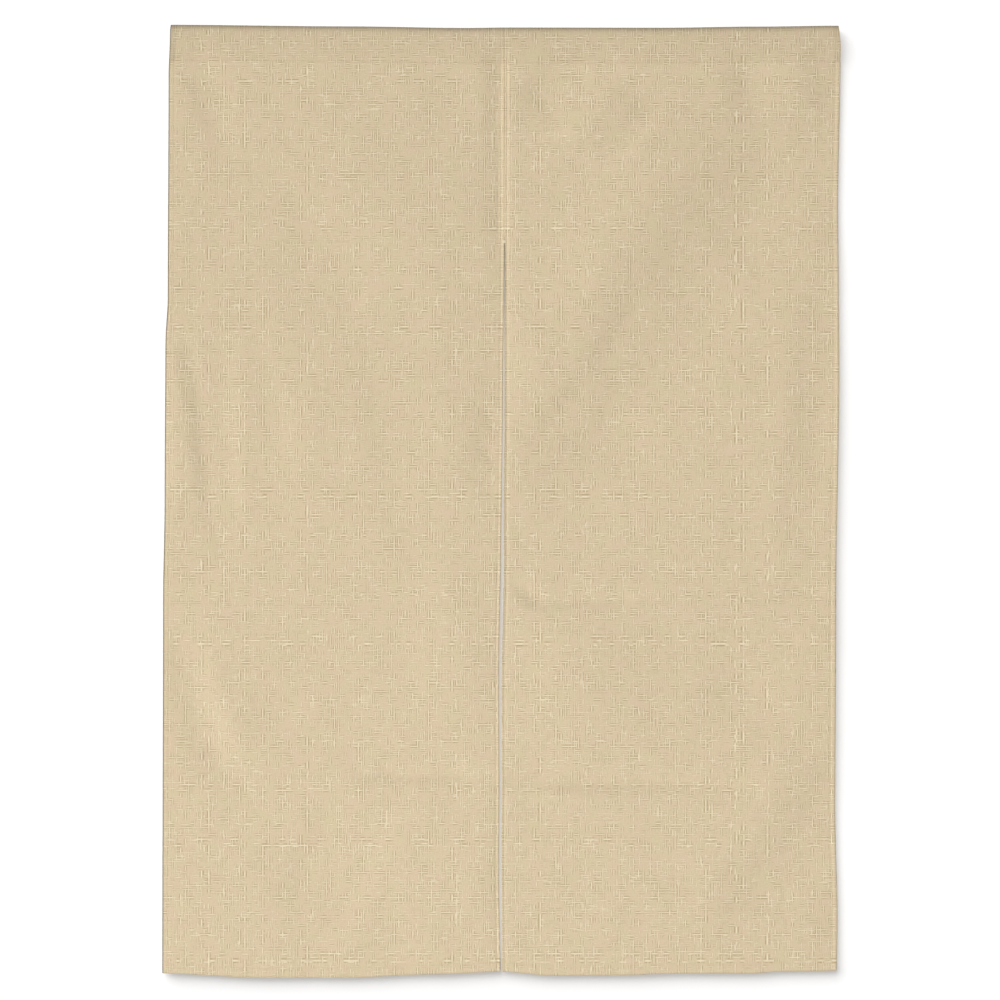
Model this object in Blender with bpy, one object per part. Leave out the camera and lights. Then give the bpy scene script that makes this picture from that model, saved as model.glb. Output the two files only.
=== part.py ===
"""A two-panel door curtain of plain cloth, hanging from the rod pocket along its top edge.

Metres, +Z up. The front faces -Y, X runs along the top edge, and the origin is the middle of that edge.
Two hemmed panels are sewn together over the upper quarter and hang free of each other below it. The
heading is the top of both, folded to the back and stitched across, which leaves a pocket for the rod.
All sizes and tables here are in millimetres, and MM turns them to metres.
"""

import math
from collections import namedtuple

import bmesh
import bpy

MM = 0.001

GAP = 0.3
CLOTH = 1.2
HEM_CLOTH = 2.4

POCKET_DEPTH = 43.0
FOOT_DEPTH = 46.0
POCKET_RADIUS = 9.0
POCKET_ARC_STEPS = 10
HEADING_STATIONS = 24

SIDE_HEM = 8.0
SLIT_HEM = 6.0
FOOT_HEM = 15.0
HEM_STEP = 1.5

PANEL_COLUMNS = 18
PANEL_ROWS = 28
COLUMN_CROWDING = 0.05

SMOOTH_ANGLE = math.radians(35)
CLOTH_COLOUR = (0.665, 0.565, 0.361, 1.0)
CLOTH_ROUGHNESS = 0.9

# The outline, read along each edge. A row is a place on the edge, and the edge is eased between rows.
EdgeRow = namedtuple("EdgeRow", "at value")

TOP_EDGE = (  # height of the top edge, along X: it sags a little in the middle
    EdgeRow(at=-425, value=3.4),
    EdgeRow(at=-200, value=1.4),
    EdgeRow(at=-50, value=-0.6),
    EdgeRow(at=0, value=0.0),
    EdgeRow(at=200, value=-0.3),
    EdgeRow(at=320, value=1.2),
    EdgeRow(at=425, value=2.3),
)
LEFT_SIDE = (  # X of the left side, down the height
    EdgeRow(at=-1200, value=-435),
    EdgeRow(at=-730, value=-434),
    EdgeRow(at=-600, value=-432),
    EdgeRow(at=-400, value=-431),
    EdgeRow(at=-340, value=-428),
    EdgeRow(at=-60, value=-427),
    EdgeRow(at=0, value=-424),
)
RIGHT_SIDE = (  # X of the right side, down the height
    EdgeRow(at=-1200, value=419),
    EdgeRow(at=-1130, value=420),
    EdgeRow(at=-980, value=417),
    EdgeRow(at=-730, value=418),
    EdgeRow(at=-430, value=422),
    EdgeRow(at=-225, value=421),
    EdgeRow(at=-30, value=424),
    EdgeRow(at=0, value=421),
)
SLIT_LINE = (  # X of the seam, and of the slit's middle below it
    EdgeRow(at=-1200, value=-6.5),
    EdgeRow(at=-1100, value=-7.2),
    EdgeRow(at=-670, value=-7.0),
    EdgeRow(at=-420, value=-3.0),
    EdgeRow(at=-275, value=-2.0),
    EdgeRow(at=0, value=-1.5),
)
SLIT_WIDTH = (  # width between the panels: sewn together above, open below
    EdgeRow(at=-1200, value=2.4),
    EdgeRow(at=-1100, value=3.6),
    EdgeRow(at=-730, value=3.8),
    EdgeRow(at=-540, value=2.0),
    EdgeRow(at=-400, value=0.7),
    EdgeRow(at=-275, value=GAP),
)
FOOT_EDGE = (  # height of the foot, along X: each panel bows down in its middle
    EdgeRow(at=-435, value=-1197.6),
    EdgeRow(at=-310, value=-1203.0),
    EdgeRow(at=-205, value=-1203.0),
    EdgeRow(at=-90, value=-1198.7),
    EdgeRow(at=-6, value=-1195.5),
    EdgeRow(at=60, value=-1200.2),
    EdgeRow(at=120, value=-1200.2),
    EdgeRow(at=230, value=-1197.5),
    EdgeRow(at=310, value=-1197.5),
    EdgeRow(at=350, value=-1195.1),
    EdgeRow(at=420, value=-1194.4),
)

# The folds. Each is a soft ridge (rise above 0, towards the front) or trough along a line from its head
# to its foot, bowed sideways in the middle. "both" marks one that crosses the seam.
Fold = namedtuple("Fold", "name panel head_x head_z foot_x foot_z bow half_width rise")

FOLDS = (
    Fold("seam_trough", "both", -12, 0, -10, -330, 0, 26, -3.0),
    Fold("slit_trough_middle", "left", -10, -410, -12, -630, 0, 26, -3.0),
    Fold("slit_shoulder_middle", "left", -74, -400, -66, -620, 0, 42, 3.0),
    Fold("slit_shoulder_low", "left", -62, -690, -58, -910, 6, 52, 3.5),
    Fold("slit_trough_low", "left", -8, -960, -8, -1200, 0, 24, -2.5),
    Fold("side_roll", "left", -412, -400, -406, -590, 0, 18, 3.5),
    Fold("side_trough", "left", -372, -380, -346, -680, -12, 26, -4.5),
    Fold("side_trough_high", "left", -396, -20, -360, -150, 6, 22, -3.0),
    Fold("side_trough_low", "left", -428, -730, -346, -960, -14, 28, -4.5),
    Fold("side_shoulder_low", "left", -352, -770, -290, -970, -8, 40, 3.5),
    Fold("crown_high", "left", -240, -90, -110, -300, 10, 85, 2.5),
    Fold("hollow_high", "left", -250, -250, -180, -380, 0, 60, -2.5),
    Fold("crown_middle", "left", -300, -520, -150, -500, 0, 90, 2.5),
    Fold("hollow_low", "left", -280, -1040, -160, -1100, 0, 80, -3.0),
    Fold("fan_ridge", "right", 48, -470, 232, -150, 10, 56, 4.0),
    Fold("fan_trough", "right", 118, -570, 374, -200, 12, 62, -4.0),
    Fold("corner_trough", "right", 24, -110, 108, -40, 0, 26, -2.5),
    Fold("corner_ridge", "right", 66, -160, 172, -80, 0, 28, 2.8),
    Fold("corner_gutter", "right", 300, -30, 312, -112, 0, 24, -2.5),
    Fold("corner_roll", "right", 366, -34, 374, -116, 0, 26, 3.5),
    Fold("side_ridge", "right", 358, -340, 330, -660, 6, 34, 2.8),
    Fold("side_gutter", "right", 404, -340, 378, -660, 6, 24, -3.2),
    Fold("slit_shoulder", "right", 34, -330, 30, -560, 0, 34, 2.5),
    Fold("crown_low", "right", 70, -740, 110, -900, 0, 70, 3.0),
    Fold("hollow_side", "right", 280, -800, 300, -900, 0, 62, -3.2),
    Fold("foot_ridge", "right", 378, -890, 282, -1050, 8, 42, 3.2),
    Fold("foot_hollow", "right", 400, -1010, 300, -1130, 4, 46, -3.2),
)


def eased(table, at):
    """The table's value at a place, eased between its rows and level beyond its ends."""
    if at <= table[0].at:
        return table[0].value
    for low, high in zip(table, table[1:]):
        if at <= high.at:
            share = (at - low.at) / (high.at - low.at)
            return low.value + (high.value - low.value) * share * share * (3 - 2 * share)
    return table[-1].value


def fold_rise(fold, x, z):
    """How far this fold lifts the cloth towards the front at a point."""
    run_x = fold.foot_x - fold.head_x
    run_z = fold.foot_z - fold.head_z
    length = math.hypot(run_x, run_z)
    share = ((x - fold.head_x) * run_x + (z - fold.head_z) * run_z) / length**2
    share = min(max(share, 0.0), 1.0)
    bow = fold.bow * 4 * share * (1 - share)
    middle_x = fold.head_x + run_x * share - run_z / length * bow
    middle_z = fold.head_z + run_z * share + run_x / length * bow
    away = math.hypot(x - middle_x, z - middle_z) / fold.half_width
    return fold.rise * math.exp(-(away**2))


def cloth_rise(panel, x, z):
    """How far the cloth of a panel stands in front of the plane in which it hangs."""
    return sum(fold_rise(f, x, z) for f in FOLDS if f.panel in (panel, "both"))


def panel_at(x):
    """The panel that a point of the heading belongs to."""
    return "left" if x < eased(SLIT_LINE, 0) else "right"


def cloth_material(name):
    material = bpy.data.materials.new(name)
    material.use_nodes = True
    shader = material.node_tree.nodes["Principled BSDF"]
    shader.inputs["Base Color"].default_value = CLOTH_COLOUR
    shader.inputs["Roughness"].default_value = CLOTH_ROUGHNESS
    shader.inputs["Metallic"].default_value = 0.0
    material.diffuse_color = CLOTH_COLOUR
    return material


def finish_object(name, work):
    """Turns a closed bmesh in millimetres into a named object in metres, with faces outwards."""
    bmesh.ops.recalc_face_normals(work, faces=work.faces)
    bmesh.ops.scale(work, vec=(MM, MM, MM), verts=work.verts)
    mesh = bpy.data.meshes.new(name)
    work.to_mesh(mesh)
    work.free()
    mesh.shade_smooth()
    mesh.set_sharp_from_angle(angle=SMOOTH_ANGLE)
    mesh.materials.append(cloth_material(name + "_cloth"))
    bpy.context.scene.collection.objects.link(bpy.data.objects.new(name, mesh))


def pocket_arc(radius, front_foot, back_foot):
    """The rounded top of the pocket's section, from its front wall over to its back wall, as (y, z).

    The arc starts and ends where straight walls to the two feet leave it at a tangent.
    """
    drop = POCKET_DEPTH - POCKET_RADIUS
    front_lean = math.asin((radius - front_foot) / drop)
    back_lean = math.asin((radius - back_foot) / drop)
    turn = math.pi + front_lean + back_lean
    angles = [-front_lean + turn * step / POCKET_ARC_STEPS for step in range(POCKET_ARC_STEPS + 1)]
    return [(-radius * math.cos(a), radius * math.sin(a) - POCKET_RADIUS) for a in angles]


def pocket_section():
    """The pocket's outer and inner outlines, as (y, z) below the top edge, front foot to back foot."""
    front = CLOTH / 2
    back = HEM_CLOTH - CLOTH / 2
    outer = [(-front, -FOOT_DEPTH), (-front, -POCKET_DEPTH)]
    outer += pocket_arc(POCKET_RADIUS, front, back)
    outer += [(back, -POCKET_DEPTH), (back, -FOOT_DEPTH)]
    inner = pocket_arc(POCKET_RADIUS - CLOTH, 0.0, 0.0)
    inner += [((back - front) / 2, CLOTH - POCKET_DEPTH)]
    return outer, inner


def heading_point(station, y, z):
    """A point of the pocket's section, set in place at a station from 0, left, to 1, right."""
    left = eased(LEFT_SIDE, z)
    x = left + (eased(RIGHT_SIDE, z) - left) * station
    below_rod = min(max((-z - POCKET_RADIUS) / (POCKET_DEPTH - POCKET_RADIUS), 0.0), 1.0)
    return x, y - below_rod * cloth_rise(panel_at(x), x, z), z + eased(TOP_EDGE, x)


def make_heading():
    """The pocket for the rod: a tube with its foot closed along the stitching and both ends open."""
    work = bmesh.new()
    outer, inner = pocket_section()
    rings = []
    for step in range(HEADING_STATIONS + 1):
        station = step / HEADING_STATIONS
        ring_outer = [work.verts.new(heading_point(station, y, z)) for y, z in outer]
        ring_inner = [work.verts.new(heading_point(station, y, z)) for y, z in inner]
        rings.append((ring_outer, ring_inner))
    for here, there in zip(rings, rings[1:]):
        for ring, following in zip(here, there):
            for k in range(len(ring)):
                work.faces.new((ring[k - 1], ring[k], following[k], following[k - 1]))
    for ring_outer, ring_inner in (rings[0], rings[-1]):
        arc_outer = ring_outer[2:-2]
        tip = ring_inner[-1]
        for k in range(POCKET_ARC_STEPS):
            work.faces.new((arc_outer[k], arc_outer[k + 1], ring_inner[k + 1], ring_inner[k]))
        work.faces.new((ring_outer[1], arc_outer[0], ring_inner[0], tip))
        work.faces.new((ring_outer[-2], arc_outer[-1], ring_inner[-2], tip))
        work.faces.new((ring_outer[0], ring_outer[1], tip, ring_outer[-2], ring_outer[-1]))
    finish_object("heading", work)


def lines_across(count, start_hem, end_hem, crowding):
    """Grid lines across a panel, each as its share of the way, an offset and whether it is hemmed.

    The lines of a hem lie at a fixed distance from their edge. Those between share the rest of the
    way, closer together near the edges where the folds are narrow.
    """
    lines = [(0.0, 0.0, start_hem > 0)]
    if start_hem > 0:
        lines += [(0.0, start_hem, True), (0.0, start_hem + HEM_STEP, False)]
    for k in range(1, count):
        share = k / count
        lines.append((share - crowding * math.sin(2 * math.pi * share), 0.0, False))
    lines += [(1.0, -end_hem - HEM_STEP, False), (1.0, -end_hem, True), (1.0, 0.0, True)]
    return lines


def side_lines(panel, z):
    """X of a panel's left and right edges at a height."""
    half_gap = max(eased(SLIT_WIDTH, z), GAP) / 2
    if panel == "left":
        return eased(LEFT_SIDE, z), eased(SLIT_LINE, z) - half_gap
    return eased(SLIT_LINE, z) + half_gap, eased(RIGHT_SIDE, z)


def panel_point(panel, across, down):
    """The point of a panel's front at a pair of grid lines."""
    x = 0.0
    z = -FOOT_DEPTH
    for _ in range(2):
        left, right = side_lines(panel, z)
        x = left + (right - left) * across[0] + across[1]
        top = eased(TOP_EDGE, x) - FOOT_DEPTH - GAP
        z = top + (eased(FOOT_EDGE, x) - top) * down[0] - down[1]
    return x, -CLOTH / 2 - cloth_rise(panel, x, z), z


def make_panel(panel):
    """One hemmed panel: the front is one surface with the folds, and the hems are thicker at the back."""
    hems = (SIDE_HEM, SLIT_HEM) if panel == "left" else (SLIT_HEM, SIDE_HEM)
    columns = lines_across(PANEL_COLUMNS, hems[0], hems[1], COLUMN_CROWDING)
    rows = lines_across(PANEL_ROWS, 0.0, FOOT_HEM, 0.0)
    work = bmesh.new()
    fronts = []
    backs = []
    for down in rows:
        fronts.append([work.verts.new(panel_point(panel, across, down)) for across in columns])
        backs.append([])
        for across, front in zip(columns, fronts[-1]):
            thickness = HEM_CLOTH if across[2] or down[2] else CLOTH
            backs[-1].append(work.verts.new((front.co.x, front.co.y + thickness, front.co.z)))
    for sheet in (fronts, backs):
        for upper, lower in zip(sheet, sheet[1:]):
            for k in range(len(columns) - 1):
                work.faces.new((upper[k], upper[k + 1], lower[k + 1], lower[k]))
    for front_edge, back_edge in (
        (fronts[0], backs[0]),
        (fronts[-1], backs[-1]),
        ([row[0] for row in fronts], [row[0] for row in backs]),
        ([row[-1] for row in fronts], [row[-1] for row in backs]),
    ):
        for k in range(len(front_edge) - 1):
            work.faces.new((front_edge[k], front_edge[k + 1], back_edge[k + 1], back_edge[k]))
    finish_object("panel_" + panel, work)


def main():
    for old in list(bpy.data.objects):
        bpy.data.objects.remove(old)
    make_heading()
    make_panel("left")
    make_panel("right")


main()
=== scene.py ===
"""The looks of a two-panel door curtain in slubby, linen-look cloth, hung from the pocket along its top.

Metres, +Z up, the front towards -Y and the origin in the middle of the top edge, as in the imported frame.
The sizes and tables of the cloth are in millimetres, and MM turns them to metres. Two hemmed panels meet
in a seam over the upper quarter and hang free of each other below it. The heading is the rod pocket.
"""

import logging
import math
from dataclasses import dataclass, field
from enum import Enum
from typing import Any

import bpy
import numpy as np
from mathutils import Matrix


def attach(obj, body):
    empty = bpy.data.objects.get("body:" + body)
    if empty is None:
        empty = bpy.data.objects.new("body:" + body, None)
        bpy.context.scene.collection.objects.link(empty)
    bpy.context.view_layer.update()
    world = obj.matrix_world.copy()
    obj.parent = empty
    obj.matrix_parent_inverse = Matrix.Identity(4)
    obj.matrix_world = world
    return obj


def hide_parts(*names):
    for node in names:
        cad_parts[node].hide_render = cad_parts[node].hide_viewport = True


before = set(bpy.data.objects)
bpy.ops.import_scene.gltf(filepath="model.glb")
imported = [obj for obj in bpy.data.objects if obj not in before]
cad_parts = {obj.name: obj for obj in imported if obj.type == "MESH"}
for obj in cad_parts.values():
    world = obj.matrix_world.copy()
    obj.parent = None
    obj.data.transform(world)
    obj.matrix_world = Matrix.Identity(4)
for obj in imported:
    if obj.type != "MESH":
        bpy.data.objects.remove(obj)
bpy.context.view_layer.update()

log = logging.getLogger("curtain")

MM = 0.001
BODY = "root"
PLACE_MAP = "cloth_place"
LAYERS = "layers"
# the attribute of painted shade at the cloth's folded rims, with a painted highlight just inside them
PAINTED_RIM_SHADE = "painted_rim_shade"
FADE_SHARE = 0.3  # the share of a fold's length over which it fades at each end
END_RISE = 0.4  # how much of a fold's rise is left at its very end
NOISE_LOW, NOISE_HIGH = 0.3, 0.7  # between these lie nearly all of a noise texture's values
WAVE_SCALE = 0.314  # the scale at which the bands of a wave texture lie 1 apart
MIX_A, MIX_B, MIX_RESULT = 6, 7, 2  # a Mix node's sockets for colours


class Panel(Enum):
    """The cloth that a fold or a point belongs to, where a fold of BOTH crosses the seam."""

    LEFT = "left"
    RIGHT = "right"
    BOTH = "both"


class Face(Enum):
    """The side of the cloth that a row of stitches shows on, as its sign along Y."""

    FRONT = -1
    BACK = 1


class Thread(Enum):
    """The way a thread runs in the cloth, as the axis of the flat cloth that it follows."""

    WARP = "Y"
    WEFT = "X"


@dataclass(frozen=True)
class Edge:
    """A line of the outline, as places and its values there, eased between them and level beyond."""

    rows: tuple[tuple[float, float], ...]

    def read(self, places: np.ndarray) -> np.ndarray:
        """Reads the edge.

        Args:
            places: where on the edge, in millimetres.

        Returns:
            The edge's value at each place.
        """
        marks, values = np.array(self.rows, dtype=float).T
        held = np.clip(places, marks[0], marks[-1])
        low = np.clip(np.searchsorted(marks, held, side="right") - 1, 0, len(marks) - 2)
        share = (held - marks[low]) / (marks[low + 1] - marks[low])
        eased = share * share * (3 - 2 * share)
        return values[low] + (values[low + 1] - values[low]) * eased


TOP_EDGE = Edge((  # height of the top edge, along X: it sags a little in the middle
    (-425, 3.4), (-200, 1.4), (-50, -0.6), (0, 0.0), (200, -0.3), (320, 1.2), (425, 2.3),
))
LEFT_SIDE = Edge((  # X of the left side, down the height
    (-1200, -435), (-730, -434), (-600, -432), (-400, -431), (-340, -428), (-60, -427), (0, -424),
))
RIGHT_SIDE = Edge((  # X of the right side, down the height
    (-1200, 419), (-1130, 420), (-980, 417), (-730, 418), (-430, 422), (-225, 421), (-30, 424),
    (0, 421),
))
SLIT_LINE = Edge((  # X of the seam, and of the slit's middle below it
    (-1200, -5.8), (-1060, -7.4), (-960, -6.8), (-830, -7.1), (-660, -4.4), (-460, -2.9), (-275, -2.0),
    (0, -1.5),
))
SLIT_WIDTH = Edge((  # width between the panels: sewn together above, open below
    (-1200, 2.4), (-1100, 3.4), (-940, 3.3), (-720, 4.2), (-540, 2.5), (-440, 2.1), (-350, 0.8),
    (-275, 0.0),
))
LEFT_SLIT_SHADE = Edge((  # painted shade on the slit's left edge, and painted light on the seam above it, against the seam groove's shadow
    (-276, 0.3), (-262, -0.5),
))
RIGHT_SLIT_SHADE = Edge((  # painted shade on the slit's right edge: most at its head, where it is nearly shut; painted light on the seam above it
    (-880, 0.6), (-720, 1.8), (-400, 1.8), (-330, 3.2), (-276, 3.4), (-262, -0.5),
))
SLIT_STITCH = Edge((  # distance of the stitching from the slit's edges, and from the seam above it
    (-340, 4.1), (-262, 7.3),
))
FOOT_EDGE = Edge((  # height of the foot, along X: each panel bows down in its middle
    (-435, -1197.6), (-310, -1203.0), (-205, -1203.0), (-90, -1198.7), (-6, -1195.5), (60, -1200.2),
    (120, -1200.2), (230, -1197.5), (310, -1197.5), (350, -1195.1), (420, -1194.4),
))


@dataclass(frozen=True)
class Fold:
    """A soft ridge (rise above 0, towards the front) or trough from its head to its foot.

    It is bowed sideways in the middle, its section is a rounded hump of the half width, and it fades
    towards its two ends.
    """

    head_x: float
    head_z: float
    foot_x: float
    foot_z: float
    bow: float
    half_width: float
    rise: float

    def lift(self, x: np.ndarray, z: np.ndarray) -> np.ndarray:
        """Works out how far this fold lifts the cloth towards the front.

        Args:
            x: places across, in millimetres.
            z: heights, in millimetres.

        Returns:
            The lift at each point, in millimetres.
        """
        run_x = self.foot_x - self.head_x
        run_z = self.foot_z - self.head_z
        length = math.hypot(run_x, run_z)
        share = ((x - self.head_x) * run_x + (z - self.head_z) * run_z) / length**2
        share = np.clip(share, 0.0, 1.0)
        bow = self.bow * 4 * share * (1 - share)
        middle_x = self.head_x + run_x * share - run_z / length * bow
        middle_z = self.head_z + run_z * share + run_x / length * bow
        away = np.hypot(x - middle_x, z - middle_z) / self.half_width
        inside = np.clip(np.minimum(share, 1 - share) / FADE_SHARE, 0.0, 1.0)
        fade = END_RISE + (1 - END_RISE) * inside * inside * (3 - 2 * inside)
        return self.rise * fade * np.exp(-(away**2))


# The folds: head X and Z, foot X and Z, bow, half width and rise.
FOLDS = {
    Panel.BOTH: (
        # the trough along the seam, on both panels
        Fold(-9, 60, -8, -370, 0, 13, -1.9),
    ),
    Panel.LEFT: (
        # main folds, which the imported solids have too: beside the slit, down to the foot
        Fold(-12, -430, -14, -590, 0, 14, -1.0),
        Fold(-74, -400, -66, -620, 0, 42, 2.3),
        Fold(-62, -690, -58, -910, 6, 52, 3.0),
        Fold(-8, -960, -8, -1200, 0, 13, -1.6),
        # main folds down the outer side
        Fold(-408, -430, -402, -590, 0, 18, 2.1),
        Fold(-358, -415, -336, -650, -12, 20, -1.6),
        Fold(-396, -20, -360, -150, 6, 18, -1.9),
        Fold(-422, -720, -338, -970, -14, 24, -1.9),
        Fold(-356, -780, -310, -930, -8, 40, 1.5),
        # main crowns and hollows of the panel's middle, from the top down
        Fold(-240, -90, -110, -300, 10, 85, 2.0),
        Fold(-250, -250, -180, -380, 0, 60, -2.6),
        Fold(-300, -520, -150, -500, 0, 90, 3.2),
        Fold(-280, -1040, -160, -1100, 0, 80, -3.8),
        # what is left of the folding that the cloth was packed in
        Fold(-185, -946, -20, -947, 0, 10, -3.2),
        Fold(-172, -402, -33, -402, 0, 9, -0.5),
        # puckers of the slit's hem, and a pinch of the seam above it
        Fold(-34, -478, -16, -500, 0, 9, -1.2),
        Fold(-36, -520, -17, -546, 0, 10, -1.2),
        Fold(-30, -566, -15, -592, 0, 10, -0.7),
        Fold(-16, -96, -12, -140, 0, 9, -0.7),
        # the long curved crease down the outer side, and the pale strips beside it
        Fold(-406, -395, -387, -509, 3, 11, -1.6),
        Fold(-387, -509, -375, -611, 0, 11, -1.6),
        Fold(-375, -611, -356, -674, 0, 11, -1.1),
        Fold(-420, -408, -418, -649, 0, 8, 0.7),
        Fold(-334, -408, -333, -649, 3, 13, 0.8),
        # where the outer side bulges: a dent, two lights, and a pull near the top
        Fold(-387, -902, -356, -940, 0, 12, -1.0),
        Fold(-368, -800, -366, -830, 0, 14, 1.4),
        Fold(-359, -851, -333, -915, 0, 12, 0.9),
        Fold(-413, -41, -375, -130, 3, 10, -0.8),
        # small dints and swells
        Fold(-267, -210, -266, -232, 0, 16, -0.9),
        Fold(-197, -335, -196, -356, 0, 16, -0.9),
        Fold(-261, -1050, -258, -1066, 0, 16, -0.9),
        Fold(-166, -503, -134, -503, 0, 14, 0.8),
        Fold(-96, -832, -95, -850, 0, 14, 0.8),
        Fold(-134, -896, -133, -912, 0, 14, 0.8),
        Fold(-45, -218, -102, -294, 3, 14, 0.9),
        # the seam's allowance, pressed open, and its edge showing through
        Fold(-4.6, -8, -4.6, -176, 0, 1.4, 0.35),
        Fold(-9.4, -82, -9.4, -100, 0, 1.3, -0.45),
        Fold(-9.6, -150, -9.8, -276, 0, 1.3, -0.45),
    ),
    Panel.RIGHT: (
        # main folds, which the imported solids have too: the fan, from the slit up to the right
        Fold(14, -540, 262, -90, 10, 62, 5.4),
        Fold(86, -620, 400, -130, 12, 66, -3.2),
        # main folds of the corner by the seam, then of the outer corner
        Fold(24, -110, 108, -40, 0, 26, -3.8),
        Fold(66, -160, 172, -80, 0, 28, 4.0),
        Fold(300, -30, 312, -112, 0, 24, -2.5),
        Fold(366, -34, 374, -116, 0, 26, 2.7),
        # main folds down the outer side
        Fold(358, -340, 330, -660, 6, 34, 1.5),
        Fold(404, -340, 378, -660, 6, 18, -1.0),
        # main folds beside the slit and round the bowl below it
        Fold(34, -330, 30, -560, 0, 34, 1.7),
        Fold(70, -740, 110, -900, 0, 74, 3.6),
        Fold(302, -800, 316, -890, 0, 58, -3.2),
        # main folds across the lower corner
        Fold(378, -890, 282, -1050, 8, 44, 2.2),
        Fold(400, -1010, 300, -1130, 4, 50, -2.6),
        # what is left of the folding that the cloth was packed in
        Fold(8, -955, 309, -961, 2, 11, -3.5),
        Fold(144, -927, 233, -927, 0, 12, -1.5),
        Fold(43, -972, 119, -973, 0, 11, 1.5),
        # a hooked crease that starts at the slit
        Fold(12, -706, 50, -731, 0, 9, -2.2),
        Fold(38, -728, 176, -722, 0, 10, -3.0),
        # nicks in the outer side, and two dashes above the foot
        Fold(347, -712, 410, -713, 0, 10, -1.7),
        Fold(360, -769, 417, -770, 0, 10, 1.5),
        Fold(233, -1111, 296, -1112, 0, 11, 1.6),
        Fold(233, -1066, 296, -1054, 0, 14, 1.0),
        # streaks and dips of the fan
        Fold(60, -148, 148, -84, 0, 12, 1.7),
        Fold(150, -176, 224, -92, 0, 12, 1.5),
        Fold(118, -112, 182, -52, 0, 11, -1.4),
        Fold(18, -79, 68, -54, 0, 10, -1.2),
        Fold(262, -290, 372, -140, 0, 74, -1.9),
        Fold(88, -560, 150, -470, 0, 34, -1.3),
        Fold(96, -330, 128, -262, 0, 34, 1.3),
        # the fan's long crease, in four lengths
        Fold(26, -548, 119, -433, 4, 16, -1.6),
        Fold(119, -433, 182, -332, 4, 15, -1.1),
        Fold(182, -332, 271, -206, 4, 16, -0.4),
        Fold(271, -206, 334, -155, 0, 18, -0.4),
        # the cloth falls back towards its outer side, high up and low down
        Fold(440, 30, 436, -330, 0, 78, -2.6),
        Fold(438, -830, 440, -1230, 0, 66, -2.4),
        # creases down the outer side and across the lower corner
        Fold(379, -370, 372, -535, 3, 10, -0.6),
        Fold(372, -535, 353, -636, 0, 10, -0.5),
        Fold(410, -915, 372, -1016, 4, 10, -0.5),
        Fold(372, -1016, 322, -1066, 3, 10, -0.5),
        # the rim of the bowl
        Fold(144, -902, 246, -940, -8, 16, 0.7),
        Fold(246, -940, 322, -877, -10, 16, 0.7),
        # the seam's allowance, pressed open, and its edge showing through
        Fold(4.2, -4, 4.4, -92, 0, 1.4, 0.35),
        Fold(6.4, -82, 6.6, -114, 0, 1.3, -0.45),
    ),
}


@dataclass(frozen=True)
class Unevenness:
    """The small swell of cloth that has been folded and handled: many slight waves, laid every way."""

    seed: int = 41
    waves: int = 34
    shortest: float = 26.0
    longest: float = 110.0
    steepness: float = 0.0036

    def lift(self, x: np.ndarray, z: np.ndarray) -> np.ndarray:
        """Sums the waves.

        Args:
            x: places across, in millimetres.
            z: heights, in millimetres.

        Returns:
            The lift towards the front, in millimetres.
        """
        draw = np.random.default_rng(self.seed)
        total = np.zeros_like(x, dtype=float)
        for _ in range(self.waves):
            length = math.exp(draw.uniform(math.log(self.shortest), math.log(self.longest)))
            way = draw.uniform(0.0, math.pi)
            phase = draw.uniform(0.0, 2 * math.pi)
            turns = (x * math.cos(way) + z * math.sin(way)) / length
            total += self.steepness * length / (2 * math.pi) * np.sin(2 * math.pi * turns + phase)
        return total


@dataclass(frozen=True)
class EdgeRelief:
    """The relief along a hem: the folded edge falls back, the hem bulges and its stitching sinks in."""

    stitch_at: float
    groove: float
    groove_half: float
    bulge_at: float
    bulge: float
    bulge_half: float
    pucker: float
    pucker_half: float = 7.0
    wave: float = 3.6  # the puckers' wavelength over two pi, as the two lengths below are too
    drift: float = 1.9  # how far the puckers drift along the hem, in radians of their wave
    drift_wave: float = 23.0
    cross_wave: float = 5.9  # a second wave, so that no pucker is like the next
    cross_share: float = 0.7

    def lift(self, away: np.ndarray, along: np.ndarray) -> np.ndarray:
        """Works out the lift near the hem.

        Args:
            away: distance from the edge, in millimetres.
            along: distance along the edge, in millimetres.

        Returns:
            The lift towards the front, in millimetres.
        """
        groove = -self.groove * np.exp(-(((away - self.stitch_at) / self.groove_half) ** 2))
        bulge = self.bulge * np.exp(-(((away - self.bulge_at) / self.bulge_half) ** 2))
        drifted = along / self.wave + self.drift * np.sin(along / self.drift_wave)
        puckers = np.sin(drifted) + self.cross_share * np.sin(along / self.cross_wave + 1.1)
        reach = np.exp(-(((away - self.stitch_at) / self.pucker_half) ** 2))
        return groove + bulge + self.pucker * puckers * reach


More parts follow.
